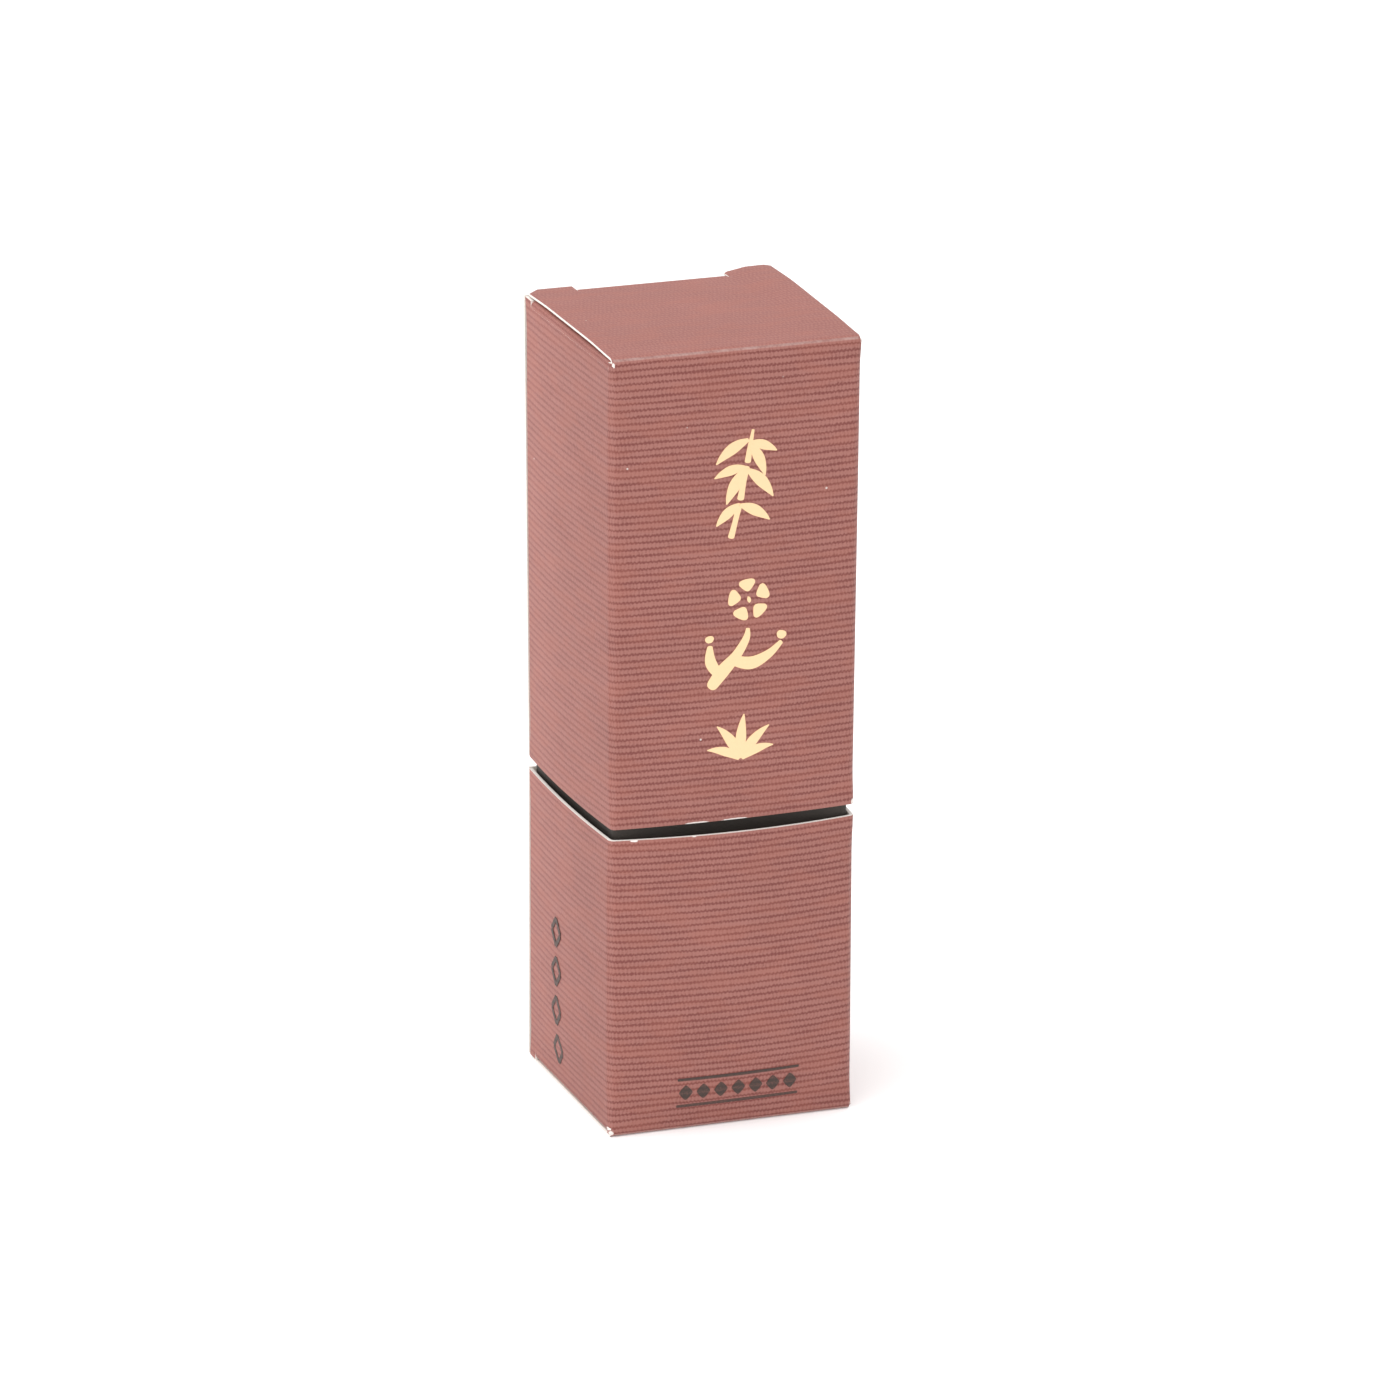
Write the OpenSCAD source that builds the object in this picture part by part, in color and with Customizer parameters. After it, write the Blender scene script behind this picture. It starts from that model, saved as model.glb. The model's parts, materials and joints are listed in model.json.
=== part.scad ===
// Two-part incense carton: a tall cap over a short base, joined by an inner sleeve.
// Each end closes with a front-hinged panel, two dust flaps and a tuck flap.
// +Z is up, the decorated front faces -Y, and the origin is the middle of the underside.

/* [Carton] */
// Outside width, left to right
width = 28; // [26:0.5:32]
// Outside depth, front to back
depth = 28; // [26:0.5:32]
// Height of the closed carton
height = 88.4; // [84:0.1:100]
// Height of the base's rim
rim_z = 34.2; // [28:0.1:38]
// Gap between the base's rim and the cap
band_gap = 1.15; // [1:0.05:2]
// Thickness of the printed board
board = 0.4; // [0.35:0.01:0.45]
// Radius outside a vertical crease
crease_r = 0.6; // [0.5:0.05:0.9]

/* [End flaps] */
// Length of a tuck flap
tuck_l = 8; // [6:0.5:8]
// Lean of a closed tuck flap, away from the back wall
tuck_lean = 16; // [16:1:20]
// Width of a dust flap, from its fold to its free edge
dust_w = 12.5; // [9:0.5:12.5]
// Width of the shoulder at each end of the tuck's crease
shoulder_w = 5.3; // [4:0.1:7]
// How far the crease is set in from the shoulders' ends
crease_set = 1.4; // [1.2:0.05:1.5]

/* [Inner sleeve] */
// Thickness of the sleeve's black paper board
sleeve_t = 0.35; // [0.3:0.01:0.4]
// Height of the sleeve's top edge
sleeve_top = 78; // [70:1:78]

/* [Incense cones] */
// Diameter of a cone's foot
cone_d = 12; // [9:0.5:12]
// Height of a cone
cone_h = 24; // [18:0.5:24]
// Diameter of a cone's blunt tip
cone_tip_d = 1.8; // [1.2:0.1:3]

/* [Decoration] */
// Thickness of the stamped foil and of the print
film = 0.03; // [0.02:0.01:0.05]

/* [Hidden] */

slip = 0.05;                              // free space between boards that lie on each other
lid_under = board;                        // depth of the lid's underside below the end plane
wall_end = board + slip;                  // depth of the front and back walls' ends
dust_under = wall_end + board;            // depth of a dust flap's inner face
side_end = dust_under + slip;             // depth of the side walls' ends
cap_z = rim_z + band_gap;                 // the cap's lower edge
lid_inset = 0.2;                          // the lid is narrower than the carton on each side
crease_y = depth / 2 - crease_set;        // the tuck's crease
shoulder_x = width / 2 - lid_inset - shoulder_w;
tuck_w = width - 2;                       // narrower than the sleeve's inside
tuck_r = 3.5;                             // rounding of the tuck's free corners
shoulder_cut = 0.75;                      // the slit under a shoulder
dust_front = 0.65;                        // a dust flap's front end, back from the outer face
dust_rear = 2.6;                          // its rear end, in from the outer face
tab_l = 9.4;                              // width of a glue tab
tab_gap = 8.9;                            // room left for the tuck flap beyond a glue tab
sleeve_w = width - 2 * board - 0.2;       // the sleeve's outside width
sleeve_front = -depth / 2 + board + 0.1;  // its front and back outer faces
sleeve_back = depth / 2 - 2 * board - 0.1;
sleeve_d = sleeve_back - sleeve_front;
sleeve_y = (sleeve_back + sleeve_front) / 2;
cone_floor = side_end;                    // the cones stand on the dust flaps
cone_y = sleeve_y - 0.1;
cone_pitch = cone_d + 0.2;
cream_gold = [0.93, 0.80, 0.55];
cover_red = [0.65, 0.44, 0.41];
ink_black = [0.28, 0.24, 0.22];
sleeve_black = [0.13, 0.11, 0.10];
cone_brown = [0.36, 0.25, 0.17];

// Quarter round from angle a about a corner's centre
function quarter(x, y, r, a) =
    [for (i = [0:6]) [x + r * cos(a + 15 * i), y + r * sin(a + 15 * i)]];

// Rectangle with round corners, centred
function round_rect(w, d, r) = concat(
    quarter(w / 2 - r, d / 2 - r, r, 0), quarter(r - w / 2, d / 2 - r, r, 90),
    quarter(r - w / 2, r - d / 2, r, 180), quarter(w / 2 - r, r - d / 2, r, 270));

// Pointed leaf that starts at the origin and runs along +X, fullest near its foot
function leaf(l, w) = concat(
    [for (i = [0:8]) [l * i / 8, w / 2 * sin(180 * pow(i / 8, 0.7))]],
    [for (i = [7:-1:1]) [l * i / 8, -w / 2 * sin(180 * pow(i / 8, 0.7))]]);

// Square tube of board between two heights
module tube(w, d, r, t, z0, z1) {
    translate([0, 0, z0]) linear_extrude(z1 - z0) difference() {
        polygon(round_rect(w, d, r));
        polygon(round_rect(w - 2 * t, d - 2 * t, max(r - t, 0.1)));
    }
}

// A flap module draws its flap below the plane z = 0; these put it at an end
module at_top() { translate([0, 0, height]) children(); }
module at_bottom() { mirror([0, 0, 1]) children(); }

// Takes the side walls down to the dust flaps' folds
module side_relief() {
    for (s = [-1, 1])
        translate([s * width / 2, 0, 0])
            cube([2 * board, depth - 2.3 * board, 2 * side_end], center = true);
}

module end_panel() {
    w = width / 2 - lid_inset;
    f = -depth / 2;
    b = depth / 2;
    c = 0.5;
    translate([0, 0, -lid_under]) linear_extrude(lid_under)
        polygon([[-w, f], [w, f], [w, b - c], [w - c, b], [shoulder_x + c, b],
            [shoulder_x, b - c], [shoulder_x, crease_y - slip / 2],
            [-shoulder_x, crease_y - slip / 2], [-shoulder_x, b - c],
            [-shoulder_x - c, b], [c - w, b], [-w, b - c]]);
}

module tuck_flap() {
    w = tuck_w / 2;
    x = shoulder_x - slip;
    translate([0, crease_y, -lid_under]) rotate([90 - tuck_lean, 0, 0])
        translate([0, 0, -board]) linear_extrude(board)
            polygon(concat([[x, -slip], [-x, -slip], [-x, -shoulder_cut], [-w, -shoulder_cut]],
                quarter(tuck_r - w, tuck_r - tuck_l, tuck_r, 180),
                quarter(w - tuck_r, tuck_r - tuck_l, tuck_r, 270),
                [[w, -shoulder_cut], [x, -shoulder_cut]]));
}

// Dust flap on the left; its front corner is cut on a slant, so that it clears the lid
module dust_flap() {
    f = -depth / 2 + dust_front;
    b = depth / 2 - dust_rear;
    translate([-width / 2, 0, -dust_under]) linear_extrude(board)
        polygon([[0, f], [2 * dust_front, f], [dust_w, f + dust_w / 2 - dust_front],
            [dust_w, b - 2], [dust_w - 0.6, b - 0.6], [dust_w - 2, b], [0, b]]);
}

// Tab glued inside the back wall between two heights, with slanted ends
module glue_tab(z0, z1) {
    slant = 1.2;
    x0 = -width / 2 + 1.4 * board;
    translate([0, depth / 2 - board, 0]) rotate([90, 0, 0]) linear_extrude(board)
        polygon([[x0, z0], [x0 + tab_l, z0 + slant], [x0 + tab_l, z1 - slant], [x0, z1]]);
}

// Stands a flat figure, drawn in X and Z, on the front face
module on_front() {
    translate([0, -depth / 2, 0]) rotate([90, 0, 0]) linear_extrude(film) children();
}

module leaves(list) {
    for (p = list)
        translate([p[0], p[1]]) rotate(p[2]) polygon(leaf(p[3], p[4]));
}

module cap_walls() {
    color(cover_red) difference() {
        tube(width, depth, crease_r, board, cap_z, height - wall_end);
        at_top() side_relief();
    }
}

module cap_glue_tab() {
    color(cover_red) glue_tab(cap_z + 0.6, height - tab_gap);
}

module cap_lid() { color(cover_red) at_top() end_panel(); }
module cap_tuck_flap() { color("linen") at_top() tuck_flap(); }
module cap_dust_flap_left() { color("linen") at_top() dust_flap(); }
module cap_dust_flap_right() { color("linen") at_top() mirror([1, 0, 0]) dust_flap(); }

// Bamboo sprig: a leaning stem with drooping leaves
module foil_upper() {
    color(cream_gold) on_front() translate([0.25, height - 15.1]) {
        polygon([[-0.9, -6], [-0.4, -6.1], [0.9, 6], [0.6, 6.1]]);
        leaves([[0.3, 4.6, 210, 4.2, 1.1], [0.5, 4.4, -35, 4, 1], [0.1, 1.6, 235, 4.6, 1.3],
            [0.2, 1.4, -60, 4.4, 1.2], [-0.3, -2, 215, 3.2, 1], [-0.3, -2.2, -28, 4.1, 1.1]]);
    }
}

// Plum blossom over a forked twig
module foil_middle() {
    bloom_y = 3;
    color(cream_gold) on_front() translate([0.7, height - 31.35]) {
        for (i = [0:4])
            translate([0.2, bloom_y]) rotate(90 + 72 * i) translate([2.1, 0]) circle(d = 2.5, $fn = 24);
        translate([0.2, bloom_y]) circle(d = 1.1, $fn = 20);
        leaves([[-3.6, -6.4, 52, 6.4, 0.8], [-1.2, -3.2, -14, 5.8, 0.7], [-3.2, -4.6, 105, 4, 0.6]]);
    }
}

// Fan of grass blades
module foil_lower() {
    color(cream_gold) on_front() translate([0.45, height - 46.2])
        leaves([[0, 0, 158, 3.8, 0.7], [0, 0, 122, 4.6, 0.8], [0, 0, 84, 4.9, 0.8],
            [0, 0, 46, 4.6, 0.8], [0, 0, 18, 3.8, 0.7]]);
}

module base_walls() {
    color(cover_red) difference() {
        tube(width, depth, crease_r, board, wall_end, rim_z);
        at_bottom() side_relief();
    }
}

module base_glue_tab() { color(cover_red) glue_tab(tab_gap, rim_z - 0.6); }
module base_bottom() { color(cover_red) at_bottom() end_panel(); }
module base_tuck_flap() { color("linen") at_bottom() tuck_flap(); }
module base_dust_flap_left() { color("linen") at_bottom() dust_flap(); }
module base_dust_flap_right() { color("linen") at_bottom() mirror([1, 0, 0]) dust_flap(); }

// Row of lozenges between two rules
module front_print() {
    color(ink_black) on_front() translate([0.55, 4.5]) {
        for (s = [-1, 1])
            translate([0, s * 1.6]) square([14, 0.35], center = true);
        for (i = [-3:3])
            translate([2 * i, 0]) circle(d = 1.8, $fn = 4);
    }
}

// Column of four lozenges on the left face
module side_print() {
    color(ink_black) translate([-width / 2, 2.7, 11.55]) rotate([90, 0, -90])
        linear_extrude(film)
            for (i = [-1.5:1.5])
                translate([0, 4.6 * i]) difference() {
                    circle(d = 3.8, $fn = 4);
                    circle(d = 2, $fn = 4);
                }
}

// The sleeve stands on the base's dust flaps; its back wall stops above the tuck flap
module inner_sleeve() {
    color(sleeve_black) difference() {
        translate([0, sleeve_y, 0])
            tube(sleeve_w, sleeve_d, crease_r, sleeve_t, side_end, sleeve_top);
        translate([0, sleeve_back, 0])
            cube([sleeve_w - 2 * sleeve_t, 4 * crease_r, 2 * tab_gap], center = true);
    }
}

module sleeve_glue_tab() {
    slant = 1.2;
    x0 = sleeve_w / 2 - 1.5 * sleeve_t;
    color(sleeve_black) translate([0, sleeve_back - sleeve_t, 0])
        rotate([90, 0, 0]) linear_extrude(sleeve_t)
            polygon([[x0, tab_gap], [x0, sleeve_top - 0.5], [x0 - tab_l, sleeve_top - 0.5 - slant],
                [x0 - tab_l, tab_gap + slant]]);
}

// One layer of four cones, counted from the bottom
module cones(layer) {
    color(cone_brown)
        for (i = [-0.5, 0.5], j = [-0.5, 0.5])
            translate([cone_pitch * i, cone_y + cone_pitch * j, cone_floor + cone_h * layer])
                cylinder(h = cone_h, d1 = cone_d, d2 = cone_tip_d, $fn = 48);
}

cap_walls();
cap_glue_tab();
cap_lid();
cap_tuck_flap();
cap_dust_flap_left();
cap_dust_flap_right();
foil_upper();
foil_middle();
foil_lower();
base_walls();
base_glue_tab();
base_bottom();
base_tuck_flap();
base_dust_flap_left();
base_dust_flap_right();
front_print();
side_print();
inner_sleeve();
sleeve_glue_tab();
cones(0);  // cones_lower
cones(1);  // cones_middle
cones(2);  // cones_upper
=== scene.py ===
"""Board, foil, print, sleeve and incense of a two-part carton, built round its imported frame.

The carton's printed board is drawn flat, as it is cut, and then folded. Flat places are (u, v):
u runs round the four walls from the rear left corner, v is the height above the underside.
"""

import json
import math

import bpy
from mathutils import Matrix, Vector


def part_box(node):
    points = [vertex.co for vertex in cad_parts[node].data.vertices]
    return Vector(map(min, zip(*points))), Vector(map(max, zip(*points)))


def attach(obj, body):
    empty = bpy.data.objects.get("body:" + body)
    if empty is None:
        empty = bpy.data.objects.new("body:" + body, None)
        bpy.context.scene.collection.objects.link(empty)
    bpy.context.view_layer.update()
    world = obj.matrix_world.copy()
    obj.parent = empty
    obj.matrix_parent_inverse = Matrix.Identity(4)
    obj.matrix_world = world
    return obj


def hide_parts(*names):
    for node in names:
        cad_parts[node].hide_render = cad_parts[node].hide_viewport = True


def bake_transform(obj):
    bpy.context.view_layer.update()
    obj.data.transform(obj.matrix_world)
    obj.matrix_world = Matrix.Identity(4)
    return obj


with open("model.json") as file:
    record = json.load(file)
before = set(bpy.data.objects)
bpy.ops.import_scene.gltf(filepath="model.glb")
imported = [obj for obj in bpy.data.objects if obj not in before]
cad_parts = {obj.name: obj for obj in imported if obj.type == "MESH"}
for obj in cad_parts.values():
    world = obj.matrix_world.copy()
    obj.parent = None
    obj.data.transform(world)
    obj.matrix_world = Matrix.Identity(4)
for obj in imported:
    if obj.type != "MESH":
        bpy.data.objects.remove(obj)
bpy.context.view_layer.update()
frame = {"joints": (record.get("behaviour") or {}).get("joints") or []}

bl_info = {
    "name": "Incense Carton",
    "version": (1, 0, 0),
    "blender": (4, 5, 0),
    "location": "View3D > Sidebar > Carton",
    "description": "Builds a two-part incense carton round its packed frame",
    "category": "Add Mesh",
}

MM = 0.001
FLAT = 0.1  # metres of flat board in one unit of the UV map
MAP = "flat"  # name of every board's UV map

cap_low, cap_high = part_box("cap_walls")
base_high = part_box("base_walls")[1]
lid_low, lid_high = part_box("cap_lid")
tuck_low, tuck_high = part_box("cap_tuck_flap")
dust_low, dust_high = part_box("cap_dust_flap_left")
sleeve_low, sleeve_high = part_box("inner_sleeve")
HINGES = {joint["name"]: Vector(joint["pos_m"]) for joint in frame["joints"] if "pos_m" in joint}

HALF = cap_high.x  # half the carton's width and depth
SIDE = 2 * HALF
TOP = lid_high.z  # the printed face of the lid
BOARD = lid_high.z - lid_low.z
SLIP = lid_low.z - cap_high.z  # free space between boards that lie on each other
FLAP_DEPTH = TOP - dust_high.z  # a dust flap's printed face, below the end plane
CREASE_Y = HINGES["lid_tuck_crease"].y
FRONT_MID = 1.5 * SIDE  # u of the middle of the front
LEFT_MID = 0.5 * SIDE  # u of the middle of the left side
RIGHT_MID = 2.5 * SIDE  # u of the middle of the right side


def smooth(x):
    """Goes from 0 to 1, and without a corner, as x does."""
    x = min(max(x, 0.0), 1.0)
    return x * x * (3 - 2 * x)


def mix(a, b, share):
    return a + (b - a) * share


FLARE = 0.027  # the cap's top is that much wider than its lower edge
SKEW = Vector((-0.30, -0.20, 0)) * MM  # how far the base's front left corner has moved


def settle(point):
    """Widens the cap towards its top, and moves the base's front left corner."""
    if point.z < (base_high.z + cap_low.z) / 2:
        share = (0.5 - point.x / SIDE) * (0.5 - point.y / SIDE)
        return point + SKEW * min(max(share, 0), 1)
    share = min(max((point.z - cap_low.z) / (TOP - cap_low.z), 0), 1)
    grow = 1 + FLARE * share
    return Vector((point.x * grow, point.y * grow, point.z))


# ---- sizes and colours


def length_setting(name, description, default, low, high):
    """A setting for a length in millimetres."""
    return bpy.props.FloatProperty(name=name, description=description, default=default * MM,
                                   min=low * MM, max=high * MM, unit="LENGTH")


def angle_setting(name, description, default):
    """A setting for an angle in degrees."""
    return bpy.props.FloatProperty(name=name, description=description,
                                   default=math.radians(default), unit="ROTATION")


def colour_setting(name, description, *default):
    """A setting for a colour."""
    return bpy.props.FloatVectorProperty(name=name, description=description, subtype="COLOR",
                                         default=default)


class CartonSizes(bpy.types.PropertyGroup):
    """Sizes of the folded board that a maker would change."""

    crease: length_setting("Crease", "Radius outside a wall's crease, halfway up", 0.95, 0.5, 1.5)
    crease_end: length_setting(
        "Crease end", "Radius outside a wall's crease at its ends", 0.45, 0.42, 1.5)
    fold: length_setting("Fold", "Radius outside the folds at the carton's ends", 0.75, 0.5, 1.2)
    grain: length_setting("Mesh size", "Side of the small squares that a board is made of", 1.4, 0.8, 4)
    rib: length_setting("Rib pitch", "Distance from rib to rib of the cover paper", 0.74, 0.3, 3)
    thread: length_setting("Thread pitch", "Distance from bump to bump along a rib", 0.44, 0.2, 3)
    film: length_setting("Film", "Thickness of the stamped foil and of the print", 0.03, 0.01, 0.1)


class CartonFinishes(bpy.types.PropertyGroup):
    """Colours of the carton's materials."""

    rib_light: colour_setting("Rib", "Cover paper on top of a rib", 0.335, 0.137, 0.114)
    rib_dark: colour_setting("Groove", "Cover paper between two ribs", 0.185, 0.050, 0.042)
    rib_warm: colour_setting("Warm patches", "Warmer tone in patches of the paper", 0.345, 0.112, 0.078)
    raw: colour_setting("Raw edge", "Cut edge and torn spots of the board", 0.80, 0.74, 0.70)
    back: colour_setting("Board back", "Unprinted side of the board", 0.70, 0.65, 0.59)
    foil: colour_setting("Foil", "Stamped foil", 0.87, 0.61, 0.365)
    ink: colour_setting("Ink", "Printed ornaments", 0.045, 0.028, 0.022)
    sleeve: colour_setting("Sleeve", "Paper board of the inner sleeve", 0.034, 0.027, 0.022)
    incense: colour_setting("Incense", "Pressed wood powder of the cones", 0.145, 0.075, 0.038)
    floor: colour_setting("Floor", "Floor of the studio", 0.94, 0.94, 0.94)


class CartonStudio(bpy.types.PropertyGroup):
    """Place of the camera and strength of the light."""

    azimuth: angle_setting("Azimuth", "Turn of the camera round the carton", -19.87)
    elevation: angle_setting("Elevation", "Height of the camera above the horizon", 17.91)
    roll: angle_setting("Roll", "Turn of the camera about its own line of sight", 0.238)
    distance: bpy.props.FloatProperty(
        name="Distance", description="From the camera to the carton's middle",
        default=1.16405, unit="LENGTH")
    lens: bpy.props.FloatProperty(
        name="Lens", description="Focal length in millimetres", default=276.4, min=50, max=500)
    sky: bpy.props.FloatProperty(
        name="Sky", description="Strength of the white surroundings", default=1.03, min=0)
    key: bpy.props.FloatProperty(
        name="Key", description="Power of the large soft light", default=6.5, min=0)


def sizes():
    return bpy.context.scene.carton_sizes


def finishes():
    return bpy.context.scene.carton_finishes


# ---- shader maths


class Wire:
    """A node's output on which Python's arithmetic adds Math nodes."""

    def __init__(self, look, socket):
        self.look = look
        self.socket = socket

    def __add__(self, other):
        return self.look.math("ADD", self, other)

    def __sub__(self, other):
        return self.look.math("SUBTRACT", self, other)

    def __rsub__(self, other):
        return self.look.math("SUBTRACT", other, self)

    def __mul__(self, other):
        return self.look.math("MULTIPLY", self, other)

    def __truediv__(self, other):
        return self.look.math("DIVIDE", self, other)

    def __abs__(self):
        return self.look.math("ABSOLUTE", self)

    __radd__ = __add__
    __rmul__ = __mul__


class Look:
    """A material with one Principled shader, and the nodes that feed it."""

    def __init__(self, name, **constants):
        self.material = bpy.data.materials.new(name)
        self.material.use_nodes = True
        self.tree = self.material.node_tree
        self.shader = self.tree.nodes["Principled BSDF"]
        for socket, value in constants.items():
            self.put(self.shader.inputs[socket.replace("_", " ")], value)

    def put(self, socket, value):
        """Links a wire to a socket, or sets the socket to a number, colour or vector."""
        if isinstance(value, Wire):
            self.tree.links.new(value.socket, socket)
        elif socket.type == "RGBA":
            socket.default_value = (*value[:3], 1)
        else:
            socket.default_value = value

    def node(self, kind, settings, inputs, output=0):
        """Adds a node: its settings first, then the values or wires of its sockets."""
        made = self.tree.nodes.new("ShaderNode" + kind)
        for name, value in settings.items():
            setattr(made, name, value)
        for name, value in inputs.items():
            self.put(made.inputs[name], value)
        return Wire(self, made.outputs[output])

    def math(self, operation, *values):
        return self.node("Math", {"operation": operation}, dict(enumerate(values)))

    def cos(self, turns):
        """A wave from 0 to 1, highest at each whole turn."""
        return self.math("COSINE", turns * math.tau) * 0.5 + 0.5

    def step(self, value, low, high):
        """0 below low, 1 above high, and smooth between them."""
        return self.node("MapRange", {"interpolation_type": "SMOOTHSTEP"},
                         {"Value": value, "From Min": low, "From Max": high})

    def near(self, value, low, high):
        """1 where the value is within low of 0, and 0 beyond high."""
        return 1 - self.step(abs(value), low, high)

    def blend(self, a, b, share):
        """A colour between two colours."""
        return self.node("Mix", {"data_type": "RGBA"}, {0: share, 6: a, 7: b}, output=2)

    def tint(self, colour, gain):
        """A colour made lighter or darker by a number."""
        return self.node("VectorMath", {"operation": "SCALE"}, {0: colour, "Scale": gain})

    def parts(self, vector):
        """The x and the y of a vector."""
        first = self.node("SeparateXYZ", {}, {0: vector})
        return first, self.also(first, 1)

    def also(self, wire, output):
        """Another output of the node that a wire comes from."""
        return Wire(self, wire.socket.node.outputs[output])

    def point(self, x, y, z=0.0):
        return self.node("CombineXYZ", {}, {0: x, 1: y, 2: z})

    def noise(self, place, scale, detail=2.0, rough=0.5):
        return self.node("TexNoise", {}, {"Vector": place, "Scale": scale, "Detail": detail,
                                          "Roughness": rough})

    def flat(self):
        """The place on the flat board, u and v, in millimetres."""
        u, v = self.parts(self.node("UVMap", {"uv_map": MAP}, {}))
        return u * (FLAT / MM), v * (FLAT / MM)

    def solid(self):
        """The place in the carton's own frame, in millimetres."""
        place = self.node("TexCoord", {}, {}, output=3)
        return self.node("VectorMath", {"operation": "SCALE"}, {0: place, "Scale": 1 / MM})

    def relief(self, height, depth):
        """Feeds a height from 0 to 1, that deep in metres, to the shader's normal."""
        self.put(self.shader.inputs["Normal"],
                 self.node("Bump", {}, {"Strength": 1.0, "Distance": depth, "Height": height}))

    def wear(self, **links):
        """Feeds wires to the shader's own sockets."""
        for socket, value in links.items():
            self.put(self.shader.inputs[socket.replace("_", " ")], value)
        return self.material


# Torn spots that show the raw board: u, v, half length along u and half height, in millimetres
TORN = [
    (37.6, 35.38, 1.3, 0.12), (41.9, 35.38, 1.5, 0.10), (55.9, 35.6, 0.25, 0.35),
    (30.6, 34.15, 0.40, 0.16), (37.2, 34.2, 0.25, 0.10), (27.6, 1.0, 0.55, 0.18),
    (28.1, 0.45, 0.4, 0.40), (26.2, 0.3, 1.2, 0.12), (28.35, 87.75, 0.14, 0.35),
]


# Where the cover paper changes, from the first distance to the second, in millimetres
FRONT_CLEAR = (13.5, 15.5)  # off the front's middle: the ribs get flatter
END_CLEAR = (0.0, 0.8)  # beyond the walls' ends: flatter still, and painted lighter
WALL_RUB_HIGHLIGHT = (0.12, 0.6)  # off a wall's crease: worn lighter, with a painted highlight
END_RUB_HIGHLIGHT = (0.08, 0.34)  # off an end's front crease: the same
FRONT_RUB_HIGHLIGHT = (13.4, 13.9)  # off the front's middle: that crease ends
REAR_PAINTED_LIGHT = (0.0, 24.0)  # off the left wall's rear edge: no longer painted lighter

SIDE_FLAT = 0.45  # how much flatter the ribs are round the front
END_FLAT = 0.85  # and on the end panels
WARM = 0.22  # share of the warm tone in its patches
REAR_PAINTED_LIGHT_GAIN = 0.14  # painted light: lighter at the left wall's rear edge
END_PAINTED_LIGHT_GAIN = 0.10  # painted light: lighter on the end panels
CLOUD = 0.16  # broad changes of lightness
GAIN = 0.91  # lightness of all of it, before the three above
WALL_WEAR_AND_HIGHLIGHT = 0.08  # share of wear and painted highlight on a wall's crease, against an end's front crease
SPECK = 0.7  # share of raw board in a speck
RAGGED = 2.4  # how ragged a torn spot's edge is
PAPER_DEPTH = 0.05 * MM  # depth of the ribs


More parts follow.
